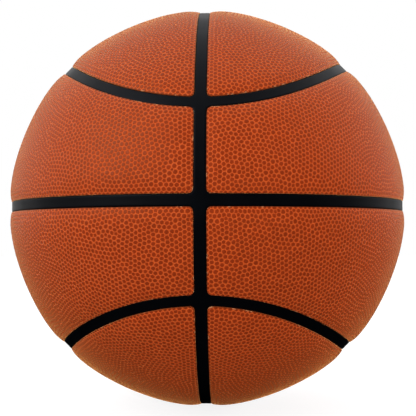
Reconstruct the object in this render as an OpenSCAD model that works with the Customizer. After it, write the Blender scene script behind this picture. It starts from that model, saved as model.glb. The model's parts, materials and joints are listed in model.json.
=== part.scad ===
// Full-size basketball of laminated construction, built as its separate layers and cover panels.
// The origin is the centre of the ball. Z is up, and -Y is the front, where two channels cross.
// One straight channel lies in the plane X = 0 and one in the plane Z = 0. Two curved channels run
// round the top and the bottom. From the front each is an arc of a circle, so it lies on a cylinder
// along Y. The channels are the ribs of the rubber carcass, and the eight panels fit between them.

/* [Ball] */
// Radius over the middle of the cover panels
ball_radius = 119.5; // [110:0.5:125]

/* [Cover panels] */
// Thickness of the leather at the middle of a panel
cover_thickness = 1.5; // [1.2:0.1:2.5]
// How far the swell beside a channel stands above the middle of the panel
swell_height = 0.5; // [0.1:0.1:1.2]
// Distance from a panel's edge to the crest of its swell
crest_inset = 9; // [6:0.5:12]
// Distance over which the swell fades towards the middle of the panel
swell_fade = 31; // [15:1:40]
// Distance over which the swell bends round a panel's corner
swell_bend = 8; // [2:0.5:12]
// How far a panel's edge lies below the middle of the panel
edge_drop = 0.5; // [0:0.1:0.8]
// Radius of the panels' rounded corners
corner_radius = 2.4; // [1:0.1:4]

/* [Channels] */
// Width of the channels between the panels
channel_width = 6.35; // [4:0.05:8]
// Depth of the channel floor below the middle of the panels
channel_depth = 0.85; // [0.5:0.05:1.5]
// Latitude where a curved channel crosses the front and the back, in degrees
loop_front_latitude = 24.1; // [20:0.1:28]
// Latitude where a curved channel crosses the sides, in degrees
loop_side_latitude = 45; // [40:0.5:50]

/* [Layers under the cover] */
// Thickness of the sponge pad under each panel
pad_thickness = 1.6; // [1:0.1:3]
// Thickness of the rubber carcass between its ribs
carcass_thickness = 0.8; // [0.6:0.1:2]
// Thickness of the thread winding
winding_thickness = 0.6; // [0.4:0.1:1.5]
// Thickness of the air bladder's wall
bladder_thickness = 0.5; // [0.4:0.1:1.5]
// Thickness of the film of adhesive between one layer and the next, which is left open
film_thickness = 0.05; // [0.02:0.01:0.2]

/* [Valve] */
// Turn of the valve from the middle of the back towards the right side, in degrees
valve_turn = 14; // [10:1:60]
// Rise of the valve above the straight level channel, in degrees
valve_rise = 12; // [9:0.5:14]
// Diameter of the stem that passes out through the cover
stem_diameter = 9; // [8:0.5:12]
// How far the stem's outer end lies below the middle of the panels
stem_recess = 0.4; // [0.2:0.1:1]
// Length of the valve's tube inside the bladder
tube_length = 9; // [6:0.5:14]
// Diameter of the flange that is bonded to the inside of the bladder
flange_diameter = 34; // [24:1:44]
// Thickness of that flange
flange_thickness = 1.2; // [0.8:0.1:2]
// Diameter of the self-sealing plug
plug_diameter = 5.6; // [4.6:0.1:6]
// Largest diameter of the plug's tapered head, which holds it in the tube from inside the bladder
head_diameter = 7.6; // [6.6:0.1:9]
// Length of that head
head_length = 2.5; // [1.5:0.1:4]
// Diameter of the needle passage in the plug
needle_diameter = 2; // [1.6:0.1:2.4]
// Depth of the open part of the needle passage
needle_depth = 8; // [5:0.5:10]

/* [Hidden] */
$fn = 256;

leather_colour = [0.56, 0.25, 0.11];
sponge_colour = [0.86, 0.80, 0.62];
rubber_colour = [0.06, 0.06, 0.07];
thread_colour = [0.88, 0.88, 0.84];
bladder_colour = [0.16, 0.16, 0.17];
valve_colour = [0.10, 0.10, 0.11];

// Clearance round the valve's stem, and round its plug
stem_clearance = 0.1;
plug_clearance = 0.05;
// Overrun of every cut past the surface that it opens
overrun = 2;

// Radii of the layers, from the inside of the cover inwards
cover_inner = ball_radius - cover_thickness;
pad_outer = cover_inner - film_thickness;
pad_inner = pad_outer - pad_thickness;
carcass_outer = pad_inner - film_thickness;
carcass_inner = carcass_outer - carcass_thickness;
winding_outer = carcass_inner - film_thickness;
winding_inner = winding_outer - winding_thickness;
bladder_outer = winding_inner - film_thickness;
bladder_inner = bladder_outer - bladder_thickness;
flange_outer = bladder_inner - film_thickness;
rib_outer = ball_radius - channel_depth;
valve_outer = ball_radius - stem_recess;
tube_start = bladder_inner - tube_length;

// The cylinder of the upper curved channel, on a ball of radius 1: its axis's height and its radius
loop_height = pow(cos(loop_front_latitude), 2)
    / (2 * (sin(loop_side_latitude) - sin(loop_front_latitude)));
loop_radius = loop_height - sin(loop_front_latitude);

// Points along a long edge of a panel and along a short one, and the extra ones beside a corner as
// shares of the corner's reach from where the channels cross
long_steps = 32;
short_steps = 5;
corner_shares = [0.25, 0.5, 0.8];
corner_reach = channel_width / 2 + corner_radius;
// The panel's spine leaves out this many long steps at each end
spine_margin = 3;
spine_steps = long_steps - 2 * spine_margin;
// Rings of points inside a panel's edge, as shares of the crest's inset and then as shares of the way
// from the crest to the spine
crest_shares = [0, 0.22, 0.55, 1];
spine_shares = [1 / 3, 2 / 3];
halvings = 18;
// Reach of the wedge that a panel's outline makes from the ball's centre, as a share of the radius
wedge_reach_share = 1.1;

function unit(p) = p / norm(p);
function between(p, q, share) = unit(p * (1 - share) + q * share);
function over_ball(angle) = ball_radius * angle * PI / 180;

// Direction at an angle from the front towards the right, and at a latitude
function toward(turn, latitude) =
    [sin(turn) * cos(latitude), -cos(turn) * cos(latitude), sin(latitude)];

// Latitude of the upper curved channel at an angle from the front
function loop_latitude(turn) =
    let (c = pow(sin(turn), 2) + pow(loop_height, 2) - pow(loop_radius, 2))
    asin(c / (loop_height + sqrt(pow(loop_height, 2) - c * pow(cos(turn), 2))));

// Distance over the ball from a direction down to the upper curved channel's middle line
function below_loop(p) =
    let (away = [p.x, 0, p.z - loop_height], lean = unit(away) * p)
    ball_radius * (norm(away) - loop_radius) / sqrt(1 - lean * lean);

// Distance inside two edges that meet in a rounded corner, from the distances inside each
function inside_corner(a, b) =
    a < corner_radius && b < corner_radius
        ? corner_radius - norm([corner_radius - a, corner_radius - b])
        : min(a, b);

// The lesser of two distances, blended where they are nearly alike
function blended(a, b) = min(a, b) - pow(max(0, swell_bend - abs(a - b)), 2) / (4 * swell_bend);

// Distances of a direction inside the straight vertical channel and then inside the panel's other
// channels, for the right upper side panel or for the right top panel
function distances_inside(p, is_side) =
    let (
        half = channel_width / 2,
        beside = over_ball(asin(p.x)) - half,
        below = below_loop(p)
    )
    is_side ? [beside, below - half, over_ball(asin(p.z)) - half] : [beside, -below - half];

// Distance of a direction inside the edge of that panel
function inside_edge(p, is_side) =
    let (inside = distances_inside(p, is_side))
    min([for (i = [1:len(inside) - 1]) inside_corner(inside[0], inside[i])]);

// Height of that panel's leather above the ball's radius
function leather_height(p, is_side) =
    let (
        inside = distances_inside(p, is_side),
        sides = is_side ? blended(inside[1], inside[2]) : inside[1],
        inset = max(0, blended(inside[0], sides)),
        past = min(1, max(0, (inset - crest_inset) / swell_fade)),
        short = max(0, 1 - inset / crest_inset)
    )
    swell_height * (1 + cos(180 * past)) / 2 - (swell_height + edge_drop) * pow(short, 2);

// The direction from p towards q that lies at a given distance inside the panel's edge
function at_inset(p, q, inset, is_side, low = 0, high = 1, count = halvings) =
    let (share = (low + high) / 2, tried = between(p, q, share))
    count == 0
        ? tried
        : inside_edge(tried, is_side) < inset
            ? at_inset(p, q, inset, is_side, share, high, count - 1)
            : at_inset(p, q, inset, is_side, low, share, count - 1);

// The middle lines of the channels along a panel's long edges, from the front at 0 to the back at 1
function lower_edge(along, is_side) = toward(180 * along, is_side ? 0 : loop_latitude(180 * along));
function upper_edge(along, is_side) =
    is_side
        ? toward(180 * along, loop_latitude(180 * along))
        : toward(0, loop_front_latitude + (180 - 2 * loop_front_latitude) * along);

// The panel's spine runs midway between its long edges
function spine(is_side) = [
    for (i = [0:spine_steps])
        let (along = (i + spine_margin) / long_steps)
        between(lower_edge(along, is_side), upper_edge(along, is_side), 0.5)
];
function spine_index(step) = max(0, min(spine_steps, step - spine_margin));

// Stops along an edge of a given length: the share of the length, and the nearest long step
function corner_stops(length) = [for (share = corner_shares) share * corner_reach / length];
function long_stops() =
    let (near = corner_stops(over_ball(180)))
    concat(
        [[0, 0]],
        [for (share = near) [share, 0]],
        [for (i = [1:long_steps - 1]) [i / long_steps, i]],
        [for (i = [len(near) - 1:-1:0]) [1 - near[i], long_steps]],
        [[1, long_steps]]
    );
function short_stops() =
    let (near = corner_stops(over_ball(loop_front_latitude)))
    concat(
        near,
        [for (i = [1:short_steps - 1]) i / short_steps],
        [for (i = [len(near) - 1:-1:0]) 1 - near[i]]
    );

// Starts on the channels' middle lines all round a panel, each with the spine point that it faces
function starts(is_side) =
    let (long = long_stops(), last = len(long) - 1, short = short_stops(), trim = is_side ? 0 : 1)
    concat(
        [for (stop = long) [lower_edge(stop[0], is_side), spine_index(stop[1])]],
        is_side ? [for (share = short) [toward(180, share * loop_front_latitude), spine_steps]] : [],
        [
            for (i = [last - trim:-1:trim])
                [upper_edge(long[i][0], is_side), spine_index(long[i][1])]
        ],
        is_side
            ? [for (i = [len(short) - 1:-1:0]) [toward(0, short[i] * loop_front_latitude), 0]]
            : []
    );

// Faces between a ring of points and the next ring inside it, both starting at a given index
function ring_faces(outer, inner, count) = [
    for (i = [0:count - 1])
        let (next = (i + 1) % count)
        each [
            [outer + i, inner + next, outer + next],
            [outer + i, inner + i, inner + next]
        ]
];
function spine_faces(ring, spine_start, begin) = [
    for (i = [0:len(begin) - 1])
        let (next = (i + 1) % len(begin), a = begin[i][1], b = begin[next][1])
        each concat(
            [[ring + i, spine_start + a, ring + next]],
            a == b ? [] : [[ring + next, spine_start + a, spine_start + b]]
        )
];
function side_faces(centre, count) = [
    for (i = [0:count - 1]) [i, (i + 1) % count, centre]
];

// Wedge from the ball's centre out through a panel's outline
module outline_wedge(is_side) {
    reach = ball_radius * wedge_reach_share;
    begin = starts(is_side);
    middle = spine(is_side);
    count = len(begin);
    ring = [for (start = begin) reach * at_inset(start[0], middle[start[1]], 0, is_side)];
    polyhedron(
        points = concat(ring, reach * middle, [[0, 0, 0]]),
        faces = concat(
            spine_faces(0, count, begin),
            side_faces(count + len(middle), count)
        )
    );
}

// The same wedge ending in the panel's outer surface, with its rolled edge and its swell
module leather_wedge(is_side) {
    begin = starts(is_side);
    middle = spine(is_side);
    count = len(begin);
    crest_rings = [
        for (share = crest_shares) [
            for (start = begin)
                at_inset(start[0], middle[start[1]], share * crest_inset, is_side)
        ]
    ];
    crest = crest_rings[len(crest_rings) - 1];
    spine_rings = [
        for (share = spine_shares) [
            for (i = [0:count - 1]) between(crest[i], middle[begin[i][1]], share)
        ]
    ];
    rings = concat(crest_rings, spine_rings);
    directions = concat([for (ring = rings) each ring], middle);
    surface = [for (p = directions) p * (ball_radius + leather_height(p, is_side))];
    spine_start = count * len(rings);
    polyhedron(
        points = concat(surface, [[0, 0, 0]]),
        faces = concat(
            [for (i = [0:len(rings) - 2]) each ring_faces(count * i, count * (i + 1), count)],
            spine_faces(count * (len(rings) - 1), spine_start, begin),
            side_faces(spine_start + len(middle), count)
        )
    );
}

// Turns the right upper shape into the one for any hand and level
module placed(is_left, is_low)
    mirror([is_left ? 1 : 0, 0, 0])
        mirror([0, 0, is_low ? 1 : 0])
            children();

module shell(outer, inner)
    difference() {
        sphere(r = outer);
        sphere(r = inner);
    }

// Carries its children to the valve's line, with their Z pointing out of the ball
module on_valve_line()
    rotate([0, 0, -valve_turn])
        rotate([valve_rise - 90, 0, 0])
            children();

module valve_hole()
    on_valve_line()
        cylinder(r = stem_diameter / 2 + stem_clearance, h = ball_radius + overrun);

module cover_panel(is_side, is_left, is_low)
    color(leather_colour)
        difference() {
            placed(is_left, is_low)
                leather_wedge(is_side);
            sphere(r = cover_inner);
            valve_hole();
        }

module sponge_pad(is_side, is_left, is_low)
    color(sponge_colour)
        difference() {
            intersection() {
                shell(pad_outer, pad_inner);
                placed(is_left, is_low)
                    outline_wedge(is_side);
            }
            valve_hole();
        }

module panel_pocket(is_side, is_left, is_low)
    difference() {
        placed(is_left, is_low)
            outline_wedge(is_side);
        sphere(r = carcass_outer);
    }

// The shell's poles are turned to the middles of two side panels, where no rib passes
module carcass()
    color(rubber_colour)
        difference() {
            rotate([0, 90 - loop_side_latitude / 2, 0])
                shell(rib_outer, carcass_inner);
            for (is_side = [true, false], is_left = [true, false], is_low = [true, false])
                panel_pocket(is_side, is_left, is_low);
            valve_hole();
        }

module winding()
    color(thread_colour)
        difference() {
            shell(winding_outer, winding_inner);
            valve_hole();
        }

module bladder()
    color(bladder_colour)
        difference() {
            shell(bladder_outer, bladder_inner);
            valve_hole();
        }

module valve_housing()
    color(valve_colour)
        difference() {
            union() {
                intersection() {
                    shell(flange_outer, flange_outer - flange_thickness);
                    on_valve_line()
                        cylinder(r = flange_diameter / 2, h = ball_radius);
                }
                on_valve_line()
                    translate([0, 0, tube_start])
                        cylinder(r = stem_diameter / 2, h = valve_outer - tube_start);
            }
            on_valve_line()
                cylinder(r = plug_diameter / 2 + plug_clearance, h = ball_radius + overrun);
        }

// The plug's head bears on the tube's inner end
module valve_plug() {
    shoulder = tube_start - plug_clearance;
    color(valve_colour)
        on_valve_line()
            difference() {
                union() {
                    translate([0, 0, shoulder])
                        cylinder(r = plug_diameter / 2, h = valve_outer - shoulder);
                    translate([0, 0, shoulder - head_length])
                        cylinder(r1 = plug_diameter / 2, r2 = head_diameter / 2, h = head_length);
                }
                translate([0, 0, valve_outer - needle_depth])
                    cylinder(r = needle_diameter / 2, h = needle_depth + overrun);
            }
}

cover_panel(true, false, false);  // side_panel_upper_right
cover_panel(true, true, false);  // side_panel_upper_left
cover_panel(true, false, true);  // side_panel_lower_right
cover_panel(true, true, true);  // side_panel_lower_left
cover_panel(false, false, false);  // end_panel_top_right
cover_panel(false, true, false);  // end_panel_top_left
cover_panel(false, false, true);  // end_panel_bottom_right
cover_panel(false, true, true);  // end_panel_bottom_left
sponge_pad(true, false, false);  // side_pad_upper_right
sponge_pad(true, true, false);  // side_pad_upper_left
sponge_pad(true, false, true);  // side_pad_lower_right
sponge_pad(true, true, true);  // side_pad_lower_left
sponge_pad(false, false, false);  // end_pad_top_right
sponge_pad(false, true, false);  // end_pad_top_left
sponge_pad(false, false, true);  // end_pad_bottom_right
sponge_pad(false, true, true);  // end_pad_bottom_left
carcass();
winding();
bladder();
valve_housing();
valve_plug();
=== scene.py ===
# %% [markdown]
# # A pebbled leather basketball
#
# This lesson dresses a full-size basketball for close views. Its construction is already there as
# solids: eight cover panels, eight sponge pads, a rubber carcass, thread, a bladder and a valve. They
# come in as a fixed frame, in metres, with the ball's centre at the origin, Z up and the front
# towards -Y. What is added here is what the eye sees: thousands of raised pebbles on the leather, the
# soft edges of the rubber channels, the valve, and a finish for every surface.

import json

import bmesh
import bpy
import numpy as np
from mathutils import Matrix, Vector
from mathutils.geometry import delaunay_2d_cdt
from mathutils.kdtree import KDTree


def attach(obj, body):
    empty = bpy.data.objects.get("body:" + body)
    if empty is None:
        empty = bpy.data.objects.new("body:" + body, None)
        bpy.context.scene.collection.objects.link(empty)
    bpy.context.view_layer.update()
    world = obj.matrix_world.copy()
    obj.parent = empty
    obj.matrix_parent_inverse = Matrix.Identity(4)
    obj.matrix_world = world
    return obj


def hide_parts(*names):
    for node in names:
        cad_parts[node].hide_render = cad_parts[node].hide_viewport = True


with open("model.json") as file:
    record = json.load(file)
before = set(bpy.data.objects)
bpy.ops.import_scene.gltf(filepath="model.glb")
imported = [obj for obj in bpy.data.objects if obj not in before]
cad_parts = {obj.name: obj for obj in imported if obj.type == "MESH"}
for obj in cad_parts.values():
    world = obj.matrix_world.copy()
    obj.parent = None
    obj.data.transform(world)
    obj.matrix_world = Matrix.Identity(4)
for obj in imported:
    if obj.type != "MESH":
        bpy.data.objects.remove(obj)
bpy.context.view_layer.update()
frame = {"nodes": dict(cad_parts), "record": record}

# %% [markdown]
# ## Sizes
#
# The layers' radii are read from the solids, so that leather, pads and rubber always meet. A node's
# lowest and highest distance from the ball's centre are its inner and outer radius, and the film is
# the room for glue between two layers. The sizes that shape the leather are written once here and
# used by every step below. A panel's corners are rounded, its edge rolls down towards the channel,
# and a low swell runs beside the channel, highest at its crest. The curved channels are given by
# their latitudes at the ball's front and side. Their height and radius are in ball radii.

# %% The sizes of the ball
MM = 0.001


def radii(node):
    """Least and greatest distance of a solid's points from the ball's centre."""
    places = np.array([v.co for v in frame["nodes"][node].data.vertices])
    distances = np.linalg.norm(places, axis=1)
    return float(distances.min()), float(distances.max())


mounts = {mount["name"]: mount for mount in frame["record"]["mounts"]}
ball_radius = -mounts["stand_cup"]["pos_m"][2]
valve_line = np.array(mounts["needle_passage"]["axis"])
cover_inner = radii("side_panel_upper_left")[0]
pad_inner, pad_outer = radii("side_pad_upper_left")
carcass_inner, rib_outer = radii("carcass")
film = cover_inner - pad_outer
pocket_floor = pad_inner - film
print("ball radius:", round(ball_radius, 4), "channel floor:", round(rib_outer, 5))
print("pocket floor:", round(pocket_floor, 5), "film:", round(film, 6))

# %% The sizes of a panel and its channels
channel_half = 6.35 * MM / 2
corner_radius = 2.4 * MM
swell_height = 0.5 * MM
crest_inset = 9 * MM
swell_fade = 31 * MM
swell_bend = 8 * MM
edge_drop = 0.5 * MM
loop_front = np.radians(24.1)
loop_side = np.radians(45)
loop_height = np.cos(loop_front) ** 2 / (2 * (np.sin(loop_side) - np.sin(loop_front)))
loop_radius = loop_height - np.sin(loop_front)
print("curved channels: height", round(loop_height, 4), "radius", round(loop_radius, 4))

# %% [markdown]
# ## Where the channels run
#
# Two channels are straight: they lie in the planes X = 0 and Z = 0. The two curved ones look like
# arcs of a circle from the front, so each lies on a cylinder along Y. Every panel is a mirrored copy
# of one of two shapes, so the rules are written once, for the right upper side panel and for the
# right top panel. The edges could also be drawn as curves by hand, but leather, pads and rubber all
# need the same ones, and formulas give any of them. They work on many directions at a time, as rows
# of an array.

# %% Distances from the channels


def unit(rows):
    return rows / np.linalg.norm(rows, axis=-1, keepdims=True)


def toward(turn, latitude):
    """Directions at angles from the front towards the right, and at latitudes."""
    turn, latitude = np.broadcast_arrays(turn, latitude)
    flat = np.cos(latitude)
    return np.stack([np.sin(turn) * flat, -np.cos(turn) * flat, np.sin(latitude)], axis=-1)


def loop_latitude(turn):
    """Latitude of the upper curved channel at angles from the front."""
    c = np.sin(turn) ** 2 + loop_height**2 - loop_radius**2
    return np.arcsin(c / (loop_height + np.sqrt(loop_height**2 - c * np.cos(turn) ** 2)))


def distances_inside(p, is_side):
    """Distances of directions inside the vertical channel and inside the panel's other channels."""
    beside = ball_radius * np.arcsin(p[..., 0]) - channel_half
    away = p * [1, 0, 1] - [0, 0, loop_height]
    length = np.linalg.norm(away, axis=-1)
    lean = (away * p).sum(axis=-1) / length
    below = ball_radius * (length - loop_radius) / np.sqrt(1 - lean**2)
    if not is_side:
        return [beside, -below - channel_half]
    return [beside, below - channel_half, ball_radius * np.arcsin(p[..., 2]) - channel_half]


def inside_edge(p, is_side):
    """Distance of directions inside a panel's edge, which has rounded corners."""
    inside = distances_inside(p, is_side)
    found = []
    for other in inside[1:]:
        near = (inside[0] < corner_radius) & (other < corner_radius)
        round_part = corner_radius - np.hypot(corner_radius - inside[0], corner_radius - other)
        found.append(np.where(near, round_part, np.minimum(inside[0], other)))
    return np.minimum.reduce(found)


# %% The leather's height


def blended(a, b):
    """The lesser of two distances, blended where they are nearly alike."""
    return np.minimum(a, b) - np.maximum(0, swell_bend - np.abs(a - b)) ** 2 / (4 * swell_bend)


def leather_height(p, is_side):
    """Height of the leather above the ball's radius: rolled down at the edge, with a swell beside it."""
    inside = distances_inside(p, is_side)
    others = blended(inside[1], inside[2]) if is_side else inside[1]
    inset = np.maximum(0, blended(inside[0], others))
    past = np.clip((inset - crest_inset) / swell_fade, 0, 1)
    short = np.maximum(0, 1 - inset / crest_inset)
    return swell_height * (1 + np.cos(np.pi * past)) / 2 - (swell_height + edge_drop) * short**2


# %% [markdown]
# ## A panel's outline
#
# Each panel has a spine midway between its long edges. Walking round the channels' middle lines, each
# stop faces a point of the spine, and halving the way between the two finds the place at any given
# distance inside the edge, or outside it. The same stops serve the leather, which begins at distance
# zero, and the rubber, which fills the other side.

# %% Stops round a panel
close_stops = 15
spine_margin_share = 0.09


def between(p, q, share):
    return unit(p * (1 - share) + q * share)


def long_edges(along, is_side):
    """The middle lines of the channels on a panel's two long sides, from the front at 0 to the back at 1."""
    loop = toward(np.pi * along, loop_latitude(np.pi * along))
    if is_side:
        return toward(np.pi * along, 0), loop
    return loop, toward(0, loop_front + (np.pi - 2 * loop_front) * along)


def shares_along(length, step):
    """Shares of a way of a given length, at even steps and at closer ones near its two ends."""
    even = np.linspace(0, 1, int(length / step) + 1)
    close = np.linspace(0, 2 * (channel_half + corner_radius) / length, close_stops)
    return np.union1d(np.union1d(even, close), 1 - close)


def stops(is_side, step):
    """Directions all round a panel's channels, and for each the direction of the spine that it faces."""
    along = shares_along(np.pi * ball_radius, step)
    lower, upper = long_edges(along, is_side)
    share = np.clip(along, spine_margin_share, 1 - spine_margin_share)
    spine = between(*long_edges(share, is_side), 0.5)
    if not is_side:
        return (
            np.concatenate([lower, upper[-2:0:-1]]),
            np.concatenate([spine, spine[-2:0:-1]]),
        )
    rise = shares_along(loop_front * ball_radius, step)[1:-1] * loop_front
    back, front = toward(np.pi, rise), toward(0, rise[::-1])
    spine_back = np.repeat(spine[-1:], len(rise), 0)
    spine_front = np.repeat(spine[:1], len(rise), 0)
    return (
        np.concatenate([lower, back, upper[::-1], front]),
        np.concatenate([spine, spine_back, spine[::-1], spine_front]),
    )


# %% Places at a distance inside the edge
halvings = 22


def at_inset(start, goal, inset, is_side):
    """Directions from start towards goal that lie at a given distance inside the panel's edge."""
    low, high = np.zeros(len(start)), np.ones(len(start))
    for _ in range(halvings):
        middle = (low + high) / 2
        short = inside_edge(between(start, goal, middle[:, None]), is_side) < inset
        low, high = np.where(short, middle, low), np.where(short, high, middle)
    return between(start, goal, ((low + high) / 2)[:, None])


# %% [markdown]
# ## Pebble centres
#
# Ball leather is embossed with pebbles that are packed nearly like a honeycomb, but never quite, and
# whose rows change direction every few pebbles. Points that push each other apart settle into just
# that packing. They start on an even spiral round the ball, shaken at random with a fixed seed for
# each panel. Every round moves each one away from its six nearest neighbours, the nearest most of
# all, and every third round looks up anew which ones they are. The points on the panel's edge stay
# put, so that the leather ends on its outline with cut pebbles, as a sheet from the knife does.

# %% Evenly spread points
pebble_pitch = 2.4 * MM
honeycomb_share = np.sqrt(3) / 2


def even_directions(count):
    """Directions spread evenly over the ball on a spiral."""
    step = np.arange(count) + 0.5
    height = 1 - 2 * step / count
    turn = step * np.pi * (1 + np.sqrt(5))
    flat = np.sqrt(1 - height**2)
    return np.stack([flat * np.cos(turn), flat * np.sin(turn), height], axis=-1)


def spread(pitch, radius):
    """Even directions a pitch apart, in the quarter of the ball that holds the right upper panels."""
    points = even_directions(int(4 * np.pi * radius**2 / (pitch**2 * honeycomb_share)))
    return points[(points[:, 0] > 0) & (points[:, 2] > 0)]


# %% Points on the outline
corner_pitch = 1.1 * MM
edge_gap_shares = (0.75, 1.15)


def edge_points(outline, is_side, rng):
    """Picks points along a closed outline, about a pebble apart and closer at the corners."""
    gaps = np.linalg.norm(np.roll(outline, -1, axis=0) - outline, axis=1) * ball_radius
    inside = np.sort(distances_inside(outline, is_side), axis=0)
    at_corner = inside[1] < corner_radius
    kept, walked, wanted = [0], 0.0, pebble_pitch
    for index in range(1, len(outline)):
        walked += gaps[index - 1]
        if walked >= (corner_pitch if at_corner[index] else wanted):
            kept.append(index)
            walked = 0.0
            wanted = pebble_pitch * rng.uniform(*edge_gap_shares)
    if gaps[kept[-1] :].sum() < corner_pitch / 2:
        kept.pop()
    return outline[kept]


# %% Points that settle on a panel
edge_clear_share = 0.45
shake_share = 0.24
neighbours = 6
rounds = 60
rounds_to_a_look = 3
push_gain = 0.04 * pebble_pitch
push_power = 6
push_most = 4


def nearest(points, everyone):
    """Indices of the nearest neighbours of each point, which is itself among everyone."""
    tree = KDTree(len(everyone))
    for index, place in enumerate(everyone):
        tree.insert(place, index)
    tree.balance()
    return np.array([[found[1] for found in tree.find_n(place, neighbours + 1)[1:]] for place in points])


def settle(fixed, is_side, is_free, rng):
    """Fills a panel with points that keep their distance from the fixed ones and from each other."""
    clear = edge_clear_share * pebble_pitch
    points = spread(pebble_pitch, ball_radius)
    points = unit(points + rng.normal(size=points.shape) * shake_share * pebble_pitch / ball_radius)
    points = points[(inside_edge(points, is_side) > clear) & is_free(points, clear)]
    for turn in range(rounds):
        everyone = np.concatenate([points, fixed])
        if turn % rounds_to_a_look == 0:
            near = nearest(points, everyone)
        apart = (points[:, None] - everyone[near]) * ball_radius
        length = np.linalg.norm(apart, axis=2, keepdims=True)
        push = (apart / length * np.minimum(push_most, (pebble_pitch / length) ** push_power)).sum(axis=1)
        moved = unit(points + push * push_gain / ball_radius)
        held = (inside_edge(moved, is_side) < clear) | ~is_free(moved, clear)
        points = np.where(held[:, None], points, moved)
    return points


# %% [markdown]
# ## From centres to a net of triangles
#
# The centres are joined to a net of triangles. A stereographic map lays the panel flat without
# changing the angles of small shapes, so the flat Delaunay net is the right one on the ball as well.
# The valve's hole is cut by leaving out the triangles inside its rim.

# %% The flat map and the net
side_middle = (1, 0, 0.4)
end_middle = (0.35, 0, 1)
inside_only = 1
flat_merge = 1e-9
hole_share = 0.9


def laid_flat(p, is_side):
    """Stereographic map of directions on a panel, as seen from outside the ball."""
    up = unit(np.array(side_middle if is_side else end_middle))
    right = unit(np.cross([0, 0, 1], up))
    ahead = np.cross(up, right)
    return np.stack([p @ right, p @ ahead], axis=-1) / (1 + p @ up)[:, None]


def net(is_side, rings, inner):
    """Triangles that join the points inside the first ring and outside any other one."""
    points = np.concatenate([*rings, inner])
    starts = np.cumsum([0] + [len(ring) for ring in rings])
    edges = []
    for start, ring in zip(starts, rings):
        turn = list(range(start, start + len(ring)))
        edges += list(zip(turn, turn[1:] + turn[:1]))
    outline = list(range(len(rings[0])))
    places = [Vector(q) for q in laid_flat(points, is_side)]
    _, _, faces, sources, _, _ = delaunay_2d_cdt(places, edges, [outline], inside_only, flat_merge)
    origin = np.array([source[0] for source in sources])
    triangles = origin[np.array(faces)]
    if len(rings) > 1:
        rim = rings[1].mean(axis=0)
        reach = np.linalg.norm(rings[1] - rim, axis=1).max()
        middle = points[triangles].mean(axis=1)
        triangles = triangles[np.linalg.norm(middle - rim, axis=1) > reach * hole_share]
    return points, triangles


# %% The rim of the valve's hole
valve_hole_radius = 4.6 * MM
valve_rim_points = 22


def valve_rim():
    """Directions round the edge of the valve's hole, clockwise as seen from outside."""
    first = unit(np.cross(valve_line, [0, 0, 1]))
    second = np.cross(valve_line, first)
    angle = np.linspace(0, 2 * np.pi, valve_rim_points, endpoint=False)[:, None]
    ring = first * np.cos(angle) + second * np.sin(angle)
    return unit(valve_line + ring * valve_hole_radius / ball_radius)


# %% The eight panels
PANELS = []
for is_side in (True, False):
    for is_low in (False, True):
        for is_left in (False, True):
            level = ("lower" if is_low else "upper") if is_side else ("bottom" if is_low else "top")
            name = f"{'side' if is_side else 'end'}_panel_{level}_{'left' if is_left else 'right'}"
            PANELS.append((name, is_side, np.array([-1 if is_left else 1, 1, -1 if is_low else 1])))
print("panels:", len(PANELS))

# %% The net of one panel
outline_step = 0.6 * MM


def panel_net(name, is_side, seed):
    """The net of pebble centres of one panel, before it is mirrored to its place."""
    rng = np.random.default_rng(seed)
    start, goal = stops(is_side, outline_step)
    outline = at_inset(start, goal, 0, is_side)
    rings = [edge_points(outline, is_side, rng)]
    has_valve = name == "side_panel_upper_right"
    if has_valve:
        rings.append(valve_rim())

    def is_free(p, clear):
        if not has_valve:
            return np.full(len(p), True)
        return ball_radius * np.arccos(np.clip(p @ valve_line, -1, 1)) > valve_hole_radius + clear

    inner = settle(np.concatenate(rings), is_side, is_free, rng)
    return net(is_side, rings, inner)


# %% Settle the points of all panels
nets = {}
for seed, (name, is_side, _) in enumerate(PANELS):
    nets[name] = panel_net(name, is_side, seed)
    print(name, "centres:", len(nets[name][0]), "triangles:", len(nets[name][1]))

# %% [markdown]
# ## Writing node trees as sums
#
# Both the pebbles' tree and every finish are node trees. A few lines make them readable: a wire
# stands for one socket, and sums on wires add the Math nodes. Any other node comes from one method
# that sets what it is, fills its sockets and gives back its outlet.

# %% Wires and nodes


class Wire:
    """An outlet of a node, on which sums can be written."""

    def __init__(self, socket):
        self.socket = socket

    def outlet(self, name):
        """Another outlet of the same node."""
        return Wire(self.socket.node.outputs[name])

    def math(self, operation, *values):
        """A Math node on wires and numbers."""
        tree = Tree(self.socket.id_data)
        return tree.add("ShaderNodeMath", {"operation": operation}, dict(enumerate(values)))

    def __add__(self, other):
        return self.math("ADD", self, other)

    def __sub__(self, other):
        return self.math("SUBTRACT", self, other)

    def __rsub__(self, other):
        return self.math("SUBTRACT", other, self)

    def __mul__(self, other):
        return self.math("MULTIPLY", self, other)

    def __truediv__(self, other):
        return self.math("DIVIDE", self, other)

    __radd__ = __add__
    __rmul__ = __mul__


# %% Trees that grow by calls


class Tree:
    """A node tree under way."""

    def __init__(self, tree):
        self.tree = tree

    def add(self, kind, settings=None, sockets=None, outlet=0):
        """Adds a node of a kind, settles what it is, fills its sockets and returns one outlet."""
        node = self.tree.nodes.new(kind)
        for name, value in (settings or {}).items():
            setattr(node, name, value)
        for key, value in (sockets or {}).items():
            if isinstance(value, Wire):
                self.tree.links.new(value.socket, node.inputs[key])
            else:
                node.inputs[key].default_value = value
        return Wire(node.outputs[outlet]) if len(node.outputs) else None

    def vector(self, operation, sockets, outlet=0):
        """A Vector Math node."""
        return self.add("ShaderNodeVectorMath", {"operation": operation}, sockets, outlet)

    def smooth(self, **ends):
        """A Map Range node with a smooth step, whose sockets are named in words joined by underscores."""
        sockets = {name.replace("_", " ").title(): value for name, value in ends.items()}
        return self.add("ShaderNodeMapRange", {"interpolation_type": "SMOOTHSTEP"}, sockets)


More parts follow.
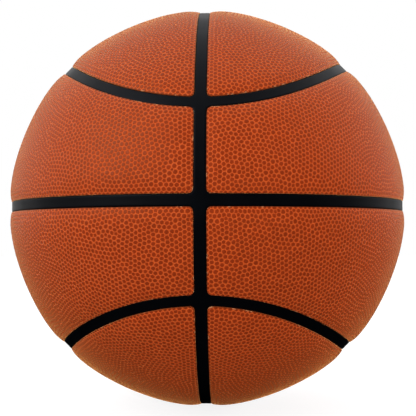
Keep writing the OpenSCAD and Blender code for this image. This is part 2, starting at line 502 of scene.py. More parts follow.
# %% [markdown]
# ## The pebble tree
#
# Bumps in the material would be cheaper than shapes, but they leave the ball's outline smooth, and a
# plain mesh loses them. So each pebble is raised in the mesh. The net's dual has one face for each
# centre: a cell with mostly five to seven sides, which is the pebble's ground plan. The tree raises
# every cell twice, drawing it in each time, so that a pebble gets a steep shoulder and a flat crown,
# and the valleys between them stay a connected net. Each ring of corners is also pulled towards a
# circle, the crown's more than the shoulder's, and only small cells have smaller circles than the
# rest. Cells at the panel's edge rise less, because the press flattens them there. Each pebble
# remembers its level, for the colour, and a tone of its own.

# %% A tree with named inputs
PEBBLE_INPUTS = {
    "Sheet": "Geometry",
    "Pebble height": "Float",
    "Shoulder rise": "Float",
    "Shoulder width": "Float",
    "Shoulder roundness": "Float",
    "Crown width": "Float",
    "Crown roundness": "Float",
    "Pebble radius": "Float",
    "Edge fade": "Float",
    "Edge height": "Float",
    "Unevenness": "Float",
    "Seed": "Int",
    "Leather": "Material",
}


class ShapeTree(Tree):
    """A Geometry Nodes tree under way, whose inputs have names."""

    def __init__(self, name, inputs, result):
        super().__init__(bpy.data.node_groups.new(name, "GeometryNodeTree"))
        for label, kind in inputs.items():
            self.tree.interface.new_socket(label, in_out="INPUT", socket_type="NodeSocket" + kind)
        self.tree.interface.new_socket(result, in_out="OUTPUT", socket_type="NodeSocketGeometry")
        self.sizes = self.add("NodeGroupInput")

    def size(self, name):
        """One of the tree's inputs."""
        return self.sizes.outlet(name)

    def keep(self, shape, name, value, kind, domain, chosen=True):
        """Stores a value on a shape's faces or points."""
        return self.add(
            "GeometryNodeStoreNamedAttribute",
            {"data_type": kind, "domain": domain},
            {"Geometry": shape, "Selection": chosen, "Name": name, "Value": value},
        )

    def kept(self, name, kind="FLOAT"):
        """A value that is stored on the shape."""
        return self.add("GeometryNodeInputNamedAttribute", {"data_type": kind}, {"Name": name})


# %% Cells and what they remember
small_cell_share = 1.1


def pebble_cells(work):
    """The dual of the net, whose cells remember their middle, their radius, a tone and how they fade."""
    tone_ends = {2: 0.0, 3: 1.0, "Seed": work.size("Seed")}
    tone = work.add("FunctionNodeRandomValue", {"data_type": "FLOAT"}, tone_ends, 1)
    fade = work.smooth(
        value=work.kept("inset"), from_max=work.size("Edge fade"), to_min=work.size("Edge height")
    )
    area = work.add("GeometryNodeInputMeshFaceArea")
    radius = area.math("SQRT", area / np.pi) * small_cell_share
    radius = radius.math("MINIMUM", radius, work.size("Pebble radius"))
    shape = work.add("GeometryNodeDualMesh", {}, {"Mesh": work.sizes, "Keep Boundaries": True})
    for name, value, kind in (
        ("cell_tone", tone, "FLOAT"),
        ("cell_fade", fade, "FLOAT"),
        ("cell_middle", work.add("GeometryNodeInputPosition"), "FLOAT_VECTOR"),
        ("cell_up", work.add("GeometryNodeInputNormal"), "FLOAT_VECTOR"),
        ("cell_radius", radius, "FLOAT"),
    ):
        shape = work.keep(shape, name, value, kind, "FACE")
    return work.keep(shape, "level", 0.0, "FLOAT", "POINT")


# %% Raise the cells
widest_share = 0.93
edge_level = 0.6


def raised_cells(work, shape):
    """Raises each cell twice, and each time draws it in and rounds it."""
    fade = work.kept("cell_fade")
    uneven = 1 + (work.kept("cell_tone") - 0.5) * work.size("Unevenness")
    full_height = work.size("Pebble height") * fade * uneven
    up = work.kept("cell_up", "FLOAT_VECTOR")
    place = work.add("GeometryNodeInputPosition")
    chosen, width_before, rise_before = True, 1.0, 0.0
    for rise, width, roundness in (
        (work.size("Shoulder rise"), work.size("Shoulder width"), work.size("Shoulder roundness")),
        (1.0, work.size("Crown width"), work.size("Crown roundness")),
    ):
        raised = work.add(
            "GeometryNodeExtrudeMesh",
            {"mode": "FACES"},
            {"Mesh": shape, "Selection": chosen, "Offset Scale": 0.0, "Individual": True},
        )
        chosen = raised.outlet("Top")
        below = work.vector("SCALE", {0: up, "Scale": full_height * rise_before})
        foot = work.vector("ADD", {0: work.kept("cell_middle", "FLOAT_VECTOR"), 1: below})
        out = work.vector("SUBTRACT", {0: place, 1: foot})
        drawn_in = width / width_before
        rounded = width * work.kept("cell_radius") / work.vector("LENGTH", {0: out}, "Value")
        scale = drawn_in + (rounded - drawn_in) * roundness
        scale = scale.math("MINIMUM", scale, widest_share)
        lift = work.vector("SCALE", {0: up, "Scale": full_height * (rise - rise_before)})
        aimed = work.vector("ADD", {0: foot, 1: work.vector("SCALE", {0: out, "Scale": scale})})
        sockets = {"Geometry": raised, "Selection": chosen, "Position": aimed, "Offset": lift}
        shape = work.add("GeometryNodeSetPosition", {}, sockets)
        level = rise * (edge_level + (1 - edge_level) * fade)
        shape = work.keep(shape, "level", level, "FLOAT", "POINT", chosen)
        width_before, rise_before = width, rise
    return shape


# %% Build the pebble tree


def pebble_tree():
    work = ShapeTree("leather pebbles", PEBBLE_INPUTS, "Leather sheet")
    shape = raised_cells(work, pebble_cells(work))
    shape = work.add("GeometryNodeRealizeInstances", {}, {"Geometry": shape})
    shape = work.add("GeometryNodeSetMaterial", {}, {"Geometry": shape, "Material": work.size("Leather")})
    work.add("NodeGroupOutput", {}, {0: shape})
    return work.tree


pebbles = pebble_tree()
print("nodes in the pebble tree:", len(pebbles.nodes))

# %% [markdown]
# ## Finishes
#
# Colours are mixed in linear light, but they are easier to judge as the values of a picture, so each
# one is written from 0 to 255 and converted. Every finish ends in the Principled shader, and what
# varies over a surface goes only into its colour, roughness and normal.

# %% Colours


def paint(red, green, blue):
    """A colour given as picture values, in linear light."""
    shares = np.array([red, green, blue]) / 255
    linear = np.where(shares > 0.04045, ((shares + 0.055) / 1.055) ** 2.4, shares / 12.92)
    return tuple(float(v) for v in linear)


def solid(colour):
    return (*colour, 1.0)


# %% A finish under way


class Finish(Tree):
    """A material under way: its tree, and the nodes that finishes share."""

    def __init__(self, name):
        self.material = bpy.data.materials.new(name)
        self.material.use_nodes = True
        super().__init__(self.material.node_tree)
        self.shader = self.tree.nodes["Principled BSDF"]
        self.place = self.add("ShaderNodeTexCoord").outlet("Object")

    def noise(self, grain, detail=3.0, rough=0.5):
        """Smooth noise from about 0 to 1 whose blots are as wide as the grain."""
        sockets = {"Vector": self.place, "Scale": 1 / grain, "Detail": detail, "Roughness": rough}
        return self.add("ShaderNodeTexNoise", {}, sockets)

    def attribute(self, name):
        return self.add("ShaderNodeAttribute", {"attribute_name": name}, {}, "Fac")

    def ease(self, value, low, high):
        """0 below low, 1 above high and a smooth step between."""
        return self.smooth(value=value, from_min=low, from_max=high)

    def mix(self, share, first, second):
        """A colour between two."""
        ends = [solid(c) if isinstance(c, tuple) else c for c in (first, second)]
        sockets = {0: share, 6: ends[0], 7: ends[1]}
        return self.add("ShaderNodeMix", {"data_type": "RGBA"}, sockets, 2)

    def dim(self, colour, share):
        """A colour times a value."""
        return self.vector("SCALE", {0: colour, "Scale": share})

    def bump(self, height, depth, share=1.0):
        sockets = {"Height": height, "Distance": depth, "Strength": share}
        return self.add("ShaderNodeBump", {}, sockets)

    def finish(self, **sockets):
        """Fills the shader's sockets, named in words joined by underscores."""
        for name, value in sockets.items():
            socket = self.shader.inputs[" ".join(w if w.isupper() else w.title() for w in name.split("_"))]
            if isinstance(value, Wire):
                self.tree.links.new(value.socket, socket)
            else:
                socket.default_value = solid(value) if isinstance(value, tuple) else value
        return self.material


# %% [markdown]
# ### Leather
#
# The leather is dyed orange and its pebbles' crowns are printed dark brown, which leaves a light net.
# The print isn't even: it follows the level that the tree stored, frayed a little by noise, and each
# pebble has a slightly different tone. A paler line runs along the bottom of the valleys. Along the
# outline the leather is darkened with painted shade, for the shadow in the gap beside the channel, and
# in a few places the cut shows through, paler. A warm sheen lightens the leather where it is seen at a
# slant. The cut edge itself is dyed brown over a pale felt back.

# %% Leather finish
line_colour = paint(197, 86, 37)
net_colour = paint(183, 67, 19)
crown_colour = paint(134, 43, 12)
cut_colour = paint(212, 142, 96)
line_levels = (0.0, 0.45)
print_levels = (0.26, 0.86)
fray_depth = 0.25
fray_size = 0.6 * MM
mottle_size = 90 * MM
polish_size = 1.1 * MM
grain_size = 0.22 * MM
# Painted shade: the share of its colour that the leather keeps on its outline, darkened for the shadow in
# the gap beside the channel.
painted_outline_shade = 0.55
painted_shade_reach = 0.6 * MM
cut_reach = (0.1 * MM, 0.5 * MM)
cut_size = 3 * MM
cut_places = (0.6, 0.68)
cut_most = 0.8


def leather_finish():
    leather = Finish("pebbled leather")
    level = leather.attribute("level")
    inset = leather.attribute("inset")
    tone = leather.attribute("cell_tone") - 0.5
    mottle = leather.noise(mottle_size, 4.0) - 0.5

    def varied(colour, by_tone, by_mottle):
        return leather.dim(colour, 1 + tone * by_tone + mottle * by_mottle)

    printed = leather.ease(level + (leather.noise(fray_size) - 0.5) * fray_depth, *print_levels)
    valley = leather.mix(leather.ease(level, *line_levels), line_colour, net_colour)
    colour = leather.mix(printed, varied(valley, 0.08, 0.12), varied(crown_colour, 0.16, 0.25))
    # Painted shade along the outline, for the shadow in the gap beside the channel.
    painted_shade = painted_outline_shade + leather.ease(inset, 0.0, painted_shade_reach) * (1 - painted_outline_shade)
    colour = leather.dim(colour, painted_shade)
    cut = (1 - leather.ease(inset, *cut_reach)) * leather.ease(leather.noise(cut_size), *cut_places)
    colour = leather.mix(cut * cut_most, colour, cut_colour)
    return leather.finish(
        base_color=colour,
        roughness=0.5 - printed * 0.06 + (leather.noise(polish_size) - 0.5) * 0.12,
        normal=leather.bump(leather.noise(grain_size, 2.0), 0.02 * MM, 0.6),
        specular_IOR_level=0.35,
        specular_tint=paint(255, 210, 155),
        sheen_weight=1.0,
        sheen_roughness=0.3,
        sheen_tint=paint(255, 180, 104),
    )


# %% The leather's cut edge and back
fibre_size = 0.5 * MM
dye_reach = 0.3 * MM


def backing_finish():
    backing = Finish("leather cut edge and backing")
    fibres = backing.noise(fibre_size, 5.0, 0.65)
    felt = backing.mix(fibres, paint(196, 128, 84), paint(224, 172, 128))
    dye = backing.mix(fibres, paint(62, 28, 14), paint(104, 50, 26))
    distance = backing.vector("LENGTH", {0: backing.place}, "Value")
    colour = backing.mix(backing.ease(distance, cover_inner, cover_inner + dye_reach), felt, dye)
    return backing.finish(base_color=colour, roughness=0.85, normal=backing.bump(fibres, 0.05 * MM))


leather_material = leather_finish()
backing_material = backing_finish()
print("finishes:", leather_material.name, "and", backing_material.name)

# %% [markdown]
# ## The leather panels
#
# The tree gives each panel's face. A real panel is a cut sheet, so its outline gets a wall down to
# the sponge and a smooth back. The wall hangs from the face's own boundary, corner for corner, and
# the back is a coarser net inside the wall's foot, so the sheet is closed. Solidify would close it
# too, but with every pebble a second time on the back, where none shows.

# %% Helpers for pieces


def put(name, data):
    """Adds an object to the scene."""
    thing = bpy.data.objects.new(name, data)
    bpy.context.scene.collection.objects.link(thing)
    return thing


def settle_piece(piece, node):
    """Attaches a piece to the ball's root body, hides the solid that it stands for and prints its triangles.
    """
    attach(piece, "root")
    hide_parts(node)
    triangles = sum(len(face.vertices) - 2 for face in piece.data.polygons)
    print(piece.name, "triangles:", triangles)


def fill_tree_inputs(modifier, values):
    """Sets a Geometry Nodes modifier's inputs, given by name."""
    for item in modifier.node_group.interface.items_tree:
        if item.item_type == "SOCKET" and item.in_out == "INPUT" and item.name in values:
            modifier[item.identifier] = values[item.name]


def plain_mesh(piece):
    """Turns a piece's modifiers into plain mesh."""
    shape = piece.evaluated_get(bpy.context.evaluated_depsgraph_get())
    mesh = bpy.data.meshes.new_from_object(shape)
    piece.modifiers.clear()
    piece.data = mesh
    mesh.name = piece.name


def store(mesh, name, values):
    """Keeps a value for each of a mesh's points."""
    if name in mesh.attributes:
        mesh.attributes.remove(mesh.attributes[name])
    layer = mesh.attributes.new(name, "FLOAT", "POINT")
    layer.data.foreach_set("value", np.asarray(values, dtype=np.float32))


# %% Close the sheet
back_pitch = 5 * MM


def boundary_loops(shape):
    """The closed rings of boundary corners of a bmesh, each as its faces run."""
    after = {}
    for edge in shape.edges:
        if edge.is_boundary:
            loop = edge.link_loops[0]
            after[loop.vert] = loop.link_loop_next.vert
    rings = []
    while after:
        ring = [next(iter(after))]
        while ring[-1] in after:
            ring.append(after.pop(ring[-1]))
        rings.append(ring[:-1])
    return sorted(rings, key=len, reverse=True)


def close_sheet(mesh, is_side, flip):
    """Gives a panel's face a wall and a back, and marks the wall's edges sharp."""
    shape = bmesh.new()
    shape.from_mesh(mesh)
    rings = boundary_loops(shape)
    feet = []
    for ring in rings:
        foot = [shape.verts.new(corner.co.normalized() * cover_inner) for corner in ring]
        for index, corner in enumerate(ring):
            follows = (index + 1) % len(ring)
            wall = shape.faces.new([ring[follows], corner, foot[index], foot[follows]])
            wall.material_index = 1
            wall.smooth = True
        feet.append(foot)
    for ring in rings + feet:
        for index, corner in enumerate(ring):
            edge = shape.edges.get([corner, ring[(index + 1) % len(ring)]])
            edge.smooth = False
    ring_directions = [unit(np.array([corner.co for corner in foot])) * flip for foot in feet]
    inner = spread(back_pitch, cover_inner)
    inner = inner[inside_edge(inner, is_side) > back_pitch / 2]
    if len(rings) > 1:
        inner = inner[np.arccos(inner @ valve_line) * cover_inner > valve_hole_radius + back_pitch / 2]
    _, triangles = net(is_side, ring_directions, inner)
    corners = [corner for foot in feet for corner in foot]
    corners += [shape.verts.new(p * cover_inner) for p in (inner * flip)]
    turned = flip.prod() > 0
    for triangle in triangles:
        a, b, c = (corners[index] for index in triangle)
        back = shape.faces.new([a, c, b] if turned else [a, b, c])
        back.material_index = 1
        back.smooth = True
    shape.to_mesh(mesh)
    shape.free()


# %% [markdown]
# A panel runs from the front of the ball to its back, like a long strip of peel. For a model that
# carries its colours as a picture, the strip is laid out flat: the pebbled face in two rows, front half
# and back half, which nearly fill the picture, and what is hidden in thin strips above them.

# %% Lay a panel out flat
wall_least = 0.1 * MM
map_margin = 0.012
face_strip = 0.94
row_fill = 0.97
back_strip = 0.95
wall_strip = 0.98
strip_width = 0.02


def rows_of_map(p, is_side):
    """How far directions lie along a panel, from the front to the back, and across it, as shares."""
    if is_side:
        along = np.arctan2(p[:, 0], -p[:, 1]) / np.pi
        return along, np.arcsin(p[:, 2]) / loop_side
    along = (np.arctan2(p[:, 2], -p[:, 1]) - loop_front) / (np.pi - 2 * loop_front)
    return along, np.arcsin(p[:, 0]) / (np.pi / 2 - loop_side)


def read(rows, name, kind=int, width=1):
    """One property of all points, corners or faces of a mesh."""
    values = np.zeros(len(rows) * width, dtype=kind)
    rows.foreach_get(name, values)
    return values


def lay_map(mesh, is_side, flip):
    """Lays a panel out for a picture: its face in two rows, its back and its wall in thin strips."""
    places = read(mesh.vertices, "co", float, 3).reshape(-1, 3) * flip
    corner = read(mesh.loops, "vertex_index")
    first = read(mesh.polygons, "loop_start")
    slots = read(mesh.polygons, "material_index")
    sides = np.diff(np.append(first, len(corner)))
    along, across = (share[corner] for share in rows_of_map(unit(places), is_side))
    raised = np.linalg.norm(places, axis=1)[corner] > cover_inner + wall_least
    is_wall = (np.maximum.reduceat(raised.astype(int), first) == 1) & (slots == 1)
    row = np.repeat(np.add.reduceat(along, first) / sides > 0.5, sides)
    u = along * 2 - row
    v = face_strip * (row + across * row_fill) / 2
    back = np.repeat((slots == 1) & ~is_wall, sides)
    u, v = np.where(back, along, u), np.where(back, back_strip + across * strip_width, v)
    round_share = np.arctan2(across - 0.5, along - 0.5) / (2 * np.pi) + 0.5
    lowest = np.repeat(np.minimum.reduceat(round_share, first), sides)
    highest = np.repeat(np.maximum.reduceat(round_share, first), sides)
    round_share += (highest - lowest > 0.5) & (round_share < 0.5)
    wall = np.repeat(is_wall, sides)
    u, v = np.where(wall, round_share, u), np.where(wall, wall_strip + raised * strip_width, v)
    layer = mesh.uv_layers.new(name="OFBake")
    both = np.stack([map_margin + u * (1 - 2 * map_margin), map_margin + v * (1 - 2 * map_margin)], axis=1)
    layer.uv.foreach_set("vector", both.astype(np.float32).ravel())


# %% Make the leather panels
pebble_height = 0.24 * MM


def leather_panel(name, is_side, flip, seed):
    """One leather panel, pebbled and closed."""
    points, triangles = nets[name]
    height = leather_height(points, is_side) - pebble_height
    places = points * flip * (ball_radius + height)[:, None]
    if flip.prod() < 0:
        triangles = triangles[:, ::-1]
    mesh = bpy.data.meshes.new(name + "_net")
    mesh.from_pydata(places.tolist(), [], triangles.tolist())
    store(mesh, "inset", inside_edge(points, is_side))
    mesh.shade_smooth()
    piece = put(name + "_leather", mesh)
    modifier = piece.modifiers.new("pebbles", "NODES")
    modifier.node_group = pebbles
    values = {
        "Pebble height": pebble_height,
        "Shoulder rise": 0.5,
        "Shoulder width": 0.82,
        "Shoulder roundness": 0.55,
        "Crown width": 0.72,
        "Crown roundness": 0.9,
        "Pebble radius": pebble_pitch * np.sqrt(honeycomb_share / np.pi),
        "Edge fade": 1.2 * pebble_pitch,
        "Edge height": 0.6,
        "Unevenness": 0.2,
        "Seed": seed,
        "Leather": leather_material,
    }
    fill_tree_inputs(modifier, values)
    plain_mesh(piece)
    close_sheet(piece.data, is_side, flip)
    shown = np.array([corner.co for corner in piece.data.vertices])
    store(piece.data, "inset", inside_edge(unit(shown) * flip, is_side))
    lay_map(piece.data, is_side, flip)
    piece.data.materials.clear()
    piece.data.materials.append(leather_material)
    piece.data.materials.append(backing_material)
    settle_piece(piece, name)


for seed, (name, is_side, flip) in enumerate(PANELS):
    leather_panel(name, is_side, flip, seed)

# %% [markdown]
# ### Rubber, sponge and thread
#
# The channels' rubber is black, with a soft gloss that comes and goes in broad clouds where hands
# and floors have polished it. The layers underneath never show on a whole ball, but they get their
# own finishes too: foamed sponge, crossing threads set in latex, and the greyer rubber of the bladder.

# %% The other finishes
cloud_grains = 40
sponge_cell = 0.6 * MM
strand_width = 0.8 * MM
wave_width = 0.31  # how far apart a Wave texture's bands lie at scale 1
winding_turns = ((0.0, 0.0), (1.1, 0.7), (0.5, 1.9), (2.2, 1.2))


def rubber_finish(name, colour, roughness, grain, shine, shine_tint=(1.0, 1.0, 1.0)):
    rubber = Finish(name)
    cloud = rubber.noise(grain * cloud_grains)
    fine = rubber.noise(grain, 4.0)
    return rubber.finish(
        base_color=rubber.dim(colour, 0.6 + cloud * 0.8),
        roughness=roughness + (cloud - 0.5) * 0.25 + (fine - 0.5) * 0.15,
        specular_IOR_level=shine,
        specular_tint=shine_tint,
        normal=rubber.bump(fine, 0.03 * MM, 0.5),
    )


def sponge_finish():
    sponge = Finish("sponge rubber")
    sockets = {"Vector": sponge.place, "Scale": 1 / sponge_cell}
    cells = sponge.add("ShaderNodeTexVoronoi", {"feature": "DISTANCE_TO_EDGE"}, sockets)
    colour = sponge.mix(sponge.ease(cells, 0.0, 0.3), paint(232, 222, 190), paint(198, 184, 142))
    return sponge.finish(base_color=colour, roughness=0.9, normal=sponge.bump(1 - cells, 0.15 * MM, 0.8))


def thread_finish():
    thread = Finish("nylon thread in latex")
    strands = None
    for turn, tilt in winding_turns:
        turned = thread.add("ShaderNodeMapping", {}, {"Vector": thread.place, "Rotation": (tilt, turn, 0.0)})
        sockets = {"Vector": turned, "Scale": wave_width / strand_width, "Distortion": 1.5, "Detail": 2.0}
        bands = thread.add("ShaderNodeTexWave", {"bands_direction": "Z"}, sockets, "Fac")
        strands = bands if strands is None else bands.math("MAXIMUM", bands, strands)
    colour = thread.mix(strands, paint(176, 170, 148), paint(238, 236, 226))
    gloss = 0.7 - strands * 0.25
    return thread.finish(base_color=colour, roughness=gloss, normal=thread.bump(strands, 0.3 * MM))


cool_shine = paint(232, 236, 255)
FINISHES = {
    "cover_leather": leather_material,
    "sponge": sponge_finish(),
    "channel_rubber": rubber_finish(
        "channel rubber", paint(3, 4, 6), roughness=0.48, grain=0.5 * MM, shine=0.13, shine_tint=cool_shine
    ),
    "thread": thread_finish(),
    "bladder_rubber": rubber_finish(
        "bladder rubber", paint(62, 62, 66), roughness=0.6, grain=0.8 * MM, shine=0.4
    ),
    "valve_rubber": rubber_finish(
        "valve rubber", paint(24, 24, 26), roughness=0.5, grain=0.3 * MM, shine=0.25
    ),
}
for subpart in frame["record"]["subparts"]:
    node_mesh = frame["nodes"][subpart["node"]].data
    node_mesh.materials.clear()
    node_mesh.materials.append(FINISHES[subpart["material_slot"]])

# %% [markdown]
# ## The carcass
#
# The carcass is one moulded rubber shell: its ribs are the black channels, and between them lie
# shallow pockets for the sponge and the leather. A mould leaves no knife edges, so each rib is dished
# a little and rolls over at its two sides, and the roll leaves the thin dark line beside the leather.
# Rings of points run round each panel from the channels' middle lines to the panel's spine. One
# section is made for each of the two panel shapes and mirrored to all eight places, where the
# sections meet exactly. A sweep along each channel would have to be mended at every crossing.

# %% Rings of the carcass
rib_step = 1.5 * MM
rib_insets = [d * MM for d in (2.2, 1.3, 0.75, 0.5, 0.3, 0.14, 0.04, 0)]
rib_dish = 0.06 * MM
rib_roll = 0.45 * MM
rib_roll_width = 0.8 * MM
floor_shares = [0.3, 0.7, 1]


def rib_height(outside):
    """Distance from the ball's centre to the rib's face, at distances from the panel's outline."""
    dish = rib_dish * np.minimum(1, outside / channel_half) ** 2
    roll = rib_roll * np.maximum(0, 1 - outside / rib_roll_width) ** 2
    return rib_outer - dish - roll


def carcass_section(is_side):
    """Places and faces of the carcass's outside under one panel and half of its channels."""
    start, goal = stops(is_side, rib_step)
    outline = at_inset(start, goal, 0, is_side)
    rings = [start * rib_height(-inside_edge(start, is_side))[:, None]]
    for outside in rib_insets:
        rings.append(at_inset(start, goal, -outside, is_side) * rib_height(outside))
    rings.append(outline * pocket_floor)
    rings += [between(outline, goal, share) * pocket_floor for share in floor_shares]
    count = len(start)
    index = np.arange(count)
    following = (index + 1) % count
    faces = []
    for ring in range(len(rings) - 1):
        near, far = ring * count, (ring + 1) * count
        faces.append(np.stack([index + near, following + near, following + far, index + far], axis=1))
    return np.concatenate(rings), np.concatenate(faces)


# %% Join the sections and the inside
inside_steps = (96, 48)
seam_merge = 0.01 * MM
sharp_from = np.radians(40)


def mark_sharp(shape):
    """Ends the smooth shading of a bmesh at its steep edges."""
    for edge in shape.edges:
        if edge.is_manifold and edge.calc_face_angle() > sharp_from:
            edge.smooth = False


def carcass_shell():
    """The carcass as a closed bmesh, with its ribs outside and a sphere inside."""
    shape = bmesh.new()
    for _, is_side, flip in PANELS:
        places, faces = carcass_section(is_side)
        corners = [shape.verts.new(place) for place in places * flip]
        for face in faces if flip.prod() > 0 else faces[:, ::-1]:
            shape.faces.new([corners[index] for index in face]).smooth = True
    bmesh.ops.remove_doubles(shape, verts=shape.verts, dist=seam_merge)
    bmesh.ops.dissolve_degenerate(shape, dist=seam_merge, edges=shape.edges)
    bmesh.ops.recalc_face_normals(shape, faces=shape.faces)
    round_steps, rise_steps = inside_steps
    inside = bmesh.ops.create_uvsphere(
        shape, u_segments=round_steps, v_segments=rise_steps, radius=carcass_inner
    )
    inner_faces = {face for corner in inside["verts"] for face in corner.link_faces}
    for face in inner_faces:
        face.smooth = True
    bmesh.ops.reverse_faces(shape, faces=list(inner_faces))
    mark_sharp(shape)
    return shape


# %% Make the carcass and drill the valve's hole
drill_steps = 48
drill_length = ball_radius * 1.1


def valve_frame():
    """Turns things with their Z along the valve's line."""
    return Vector(valve_line).to_track_quat("Z", "Y").to_matrix().to_4x4()


def new_piece(name, shape, finish):
    """Makes an object of a bmesh and a finish."""
    mesh = bpy.data.meshes.new(name)
    shape.to_mesh(mesh)
    shape.free()
    mesh.materials.append(finish)
    return put(name, mesh)


def drill_valve_hole(piece):
    """Cuts the valve's hole into a piece, from the ball's centre outwards."""
    drill = bmesh.new()
    ends = {"radius1": valve_hole_radius, "radius2": valve_hole_radius}
    bmesh.ops.create_cone(drill, cap_ends=True, segments=drill_steps, depth=drill_length, **ends)
    bmesh.ops.translate(drill, verts=drill.verts, vec=(0, 0, drill_length / 2))
    bmesh.ops.transform(drill, matrix=valve_frame(), verts=drill.verts)
    cutter = new_piece("valve drill", drill, FINISHES["channel_rubber"])
    cut = piece.modifiers.new("valve hole", "BOOLEAN")
    cut.object = cutter
    cut.solver = "MANIFOLD"
    plain_mesh(piece)
    bpy.data.objects.remove(cutter)


carcass = new_piece("carcass_ribs", carcass_shell(), FINISHES["channel_rubber"])
drill_valve_hole(carcass)
settle_piece(carcass, "carcass")

# %% [markdown]
# ## The valve
#
# From outside only the end of the valve's stem shows, a small black disc flush with the leather, with
# the plug in its middle and the needle's way in. Both are turned shapes, so each is drawn as half a
# section and spun round the valve's line. Moulded rubber has rounded rims, so every corner of the
# section has a bend of its own.

# %% Turned pieces
turn_steps = 64
bend_steps = 5
on_the_line = 0.001 * MM


def bent(section):
    """Rounds a closed section's corners, each given as radius, height and the reach of its bend."""
    points = []
    for index, (radius, height, bend) in enumerate(section):
        here = np.array([radius, height])
        if bend == 0:
            points.append(here)
            continue
        before = here + bend * unit(np.array(section[index - 1][:2]) - here)
        after = here + bend * unit(np.array(section[(index + 1) % len(section)][:2]) - here)
        for share in np.linspace(0, 1, bend_steps):
            points.append(before * (1 - share) ** 2 + 2 * share * (1 - share) * here + after * share**2)
    return points


def turned_piece(name, section, node):
    """Spins a closed section, given clockwise, round the valve's line."""
    shape = bmesh.new()
    rings = []
    for radius, height in bent(section):
        if radius < on_the_line:
            rings.append([shape.verts.new((0, 0, height))] * turn_steps)
            continue
        angles = np.linspace(0, 2 * np.pi, turn_steps, endpoint=False)
        rings.append([shape.verts.new((radius * np.cos(a), radius * np.sin(a), height)) for a in angles])
    for ring, following in zip(rings, rings[1:] + rings[:1]):
        for step in range(turn_steps):
            after = (step + 1) % turn_steps
            corners = [ring[step], ring[after], following[after], following[step]]
            corners = list(dict.fromkeys(corners))
            if len(corners) > 2:
                shape.faces.new(corners).smooth = True
    bmesh.ops.recalc_face_normals(shape, faces=shape.faces)
    mark_sharp(shape)
    bmesh.ops.transform(shape, matrix=valve_frame(), verts=shape.verts)
    piece = new_piece(name, shape, FINISHES["valve_rubber"])
    settle_piece(piece, node)


# %% The valve's housing and plug
valve_outer = radii("valve_plug")[1]
flange_radius = 17 * MM
flange_outer = radii("bladder")[0] - film
flange_thickness = 1.2 * MM
flange_steps = 8
stem_radius = 4.5 * MM
tube_length = 9 * MM
tube_start = flange_outer + film - tube_length
seat_radius = 2.85 * MM
plug_radius = 2.8 * MM
plug_shoulder = tube_start - (seat_radius - plug_radius)
head_radius = 3.8 * MM
head_length = 2.5 * MM
needle_radius = mounts["needle_passage"]["dims"]["r_mm"] * MM
needle_depth = mounts["needle_passage"]["dims"]["length_mm"] * MM
rim_bend = 0.35 * MM
small_bend = 0.2 * MM


def at_radius(distance, radius):
    """Height of a sphere's surface round the ball's centre, at a radius from the valve's line."""
    return float(np.sqrt(distance**2 - radius**2))


flange_under = flange_outer - flange_thickness
flange_radii = np.linspace(stem_radius, flange_radius, flange_steps)
housing_section = [
    (seat_radius, valve_outer, small_bend),
    (stem_radius, valve_outer, rim_bend),
    (stem_radius, at_radius(flange_outer, stem_radius), 0),
    *[(r, at_radius(flange_outer, r), 0) for r in flange_radii[1:-1]],
    (flange_radius, at_radius(flange_outer, flange_radius), rim_bend),
    (flange_radius, at_radius(flange_under, flange_radius), rim_bend),
    *[(r, at_radius(flange_under, r), 0) for r in flange_radii[-2:0:-1]],
    (stem_radius, at_radius(flange_under, stem_radius), 0),
    (stem_radius, tube_start, rim_bend),
    (seat_radius, tube_start, 0),
]
plug_section = [
    (0, valve_outer - needle_depth, 0),
    (needle_radius, valve_outer - needle_depth, 0),
    (needle_radius, valve_outer, rim_bend),
    (plug_radius, valve_outer, small_bend),
    (plug_radius, plug_shoulder, 0),
    (head_radius, plug_shoulder, small_bend),
    (plug_radius, plug_shoulder - head_length, small_bend),
    (0, plug_shoulder - head_length, 0),
]
turned_piece("valve_stem", [(float(r), float(z), b) for r, z, b in housing_section], "valve_housing")
turned_piece("valve_core", [(float(r), float(z), b) for r, z, b in plug_section], "valve_plug")

# %% [markdown]
# ## Floor, light and camera
#
# The ball rests on a white floor in front of white. Both are white only for the camera. What they
# send to the ball is dimmer: the floor is grey and isn't mirrored in the ball, and the surroundings
# glow only above and behind, and fade out below the horizon. So the ball's underside stays dark.
#
# Four soft lamps do the rest. The key lamp stands on the left, in front and above, and it alone
# leaves highlights. A wide, low lamp in front fills the shadows, and one at each side lights the rim.
# The camera stands four radii from the ball's centre, slightly below it.

# %% Floor
WHITE = solid((1, 1, 1))
floor_half = 3.0
floor_grey = 0.3
floor_shown = 0.85


def cleared(holder):
    """The node tree of a material or a world, emptied."""
    holder.use_nodes = True
    holder.node_tree.nodes.clear()
    return Tree(holder.node_tree)


def by_viewer(tree, for_ball, for_camera):
    """One shader for the light that reaches the ball and another one for what the camera sees."""
    seen = tree.add("ShaderNodeLightPath", {}, {}, "Is Camera Ray")
    return tree.add("ShaderNodeMixShader", {}, {0: seen, 1: for_ball, 2: for_camera})


def make_floor():
    """Grey paper for the ball, which the camera sees as white. It keeps the ball's shadow."""
    material = bpy.data.materials.new("floor paper")
    tree = cleared(material)
    paper = tree.add("ShaderNodeBsdfDiffuse", {}, {"Color": solid((floor_grey,) * 3)})
    shown = tree.add("ShaderNodeEmission", {}, {"Color": WHITE, "Strength": floor_shown})
    both = tree.add("ShaderNodeAddShader", {}, {0: paper, 1: shown})
    tree.add("ShaderNodeOutputMaterial", {}, {"Surface": by_viewer(tree, paper, both)})
    mesh = bpy.data.meshes.new("floor")
    corners = [(-1, -1), (1, -1), (1, 1), (-1, 1)]
    places = [(x * floor_half, y * floor_half, -ball_radius) for x, y in corners]
    mesh.from_pydata(places, [], [(0, 1, 2, 3)])
    mesh.materials.append(material)
    floor = put("floor", mesh)
    floor.visible_glossy = False


make_floor()

# %% Surroundings
back_glow = 1.06
bright_side = (0.0, 0.7, 0.71)
glow_reach = (-0.25, 0.75)
horizon_reach = (-0.3, 0.02)


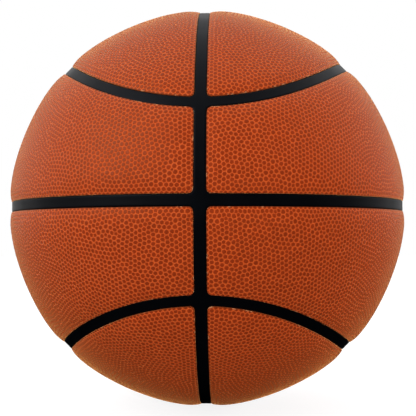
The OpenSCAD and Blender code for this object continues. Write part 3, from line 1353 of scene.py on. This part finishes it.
def make_surroundings():
    """White for the camera. For the ball, a glow above and behind that fades out below the horizon."""
    world = bpy.data.worlds.new("studio")
    bpy.context.scene.world = world
    tree = cleared(world)
    way = tree.add("ShaderNodeTexCoord", {}, {}, "Generated")
    shares = []
    for direction, (dark, bright) in ((bright_side, glow_reach), ((0, 0, 1), horizon_reach)):
        towards = tree.vector("DOT_PRODUCT", {0: way, 1: direction}, "Value")
        shares.append(tree.smooth(value=towards, from_min=dark, from_max=bright))
    strength = shares[0] * shares[1] * back_glow
    glow = tree.add("ShaderNodeBackground", {}, {"Color": WHITE, "Strength": strength})
    white = tree.add("ShaderNodeBackground", {}, {"Color": WHITE, "Strength": 1.0})
    tree.add("ShaderNodeOutputWorld", {}, {"Surface": by_viewer(tree, glow, white)})


make_surroundings()

# %% Lights


def aim(thing, place, roll=0.0):
    """Puts a camera or a light somewhere, looking at the ball's centre."""
    towards = (-place).to_track_quat("-Z", "Y").to_matrix().to_4x4()
    thing.matrix_world = Matrix.Translation(place) @ towards @ Matrix.Rotation(roll, 4, "Z")


def soft_light(name, place, size, power, shines=False):
    """A flat lamp aimed at the ball. One that doesn't shine lights colours and leaves no highlight."""
    lamp = bpy.data.lights.new(name, "AREA")
    lamp.shape = "RECTANGLE"
    lamp.size, lamp.size_y = size
    lamp.energy = power
    holder = put(name, lamp)
    holder.visible_glossy = shines
    holder.visible_camera = False
    aim(holder, Vector(place))


soft_light("key light", place=(-0.95, -0.8, 0.65), size=(0.9, 0.9), power=9.25, shines=True)
soft_light("low fill light", place=(0.3, -1.4, 0.0), size=(1.6, 0.2), power=15.0)
soft_light("left rim light", place=(-1.25, 0.45, 0.1), size=(0.7, 0.6), power=8.0)
soft_light("right rim light", place=(1.25, 0.45, 0.1), size=(0.7, 0.6), power=12.9)

# %% Camera
picture_width = 416
shift_in_pixels = (0.7, 0.24)
radii_away = 4
camera_way = Vector((0.0303, -0.999, -0.0339))
camera_roll = np.radians(-0.15)

camera_data = bpy.data.cameras.new("camera")
camera_data.lens = 65.96
camera_data.sensor_width = 36
camera_data.shift_x = shift_in_pixels[0] / picture_width
camera_data.shift_y = shift_in_pixels[1] / picture_width
camera_data.clip_start = 0.01
camera = put("camera", camera_data)
camera_place = camera_way * radii_away * ball_radius
aim(camera, camera_place, camera_roll)
bpy.context.scene.camera = camera
print("camera distance:", round(camera_place.length, 4))

# %% Picture settings
bpy.context.scene.view_settings.view_transform = "Standard"
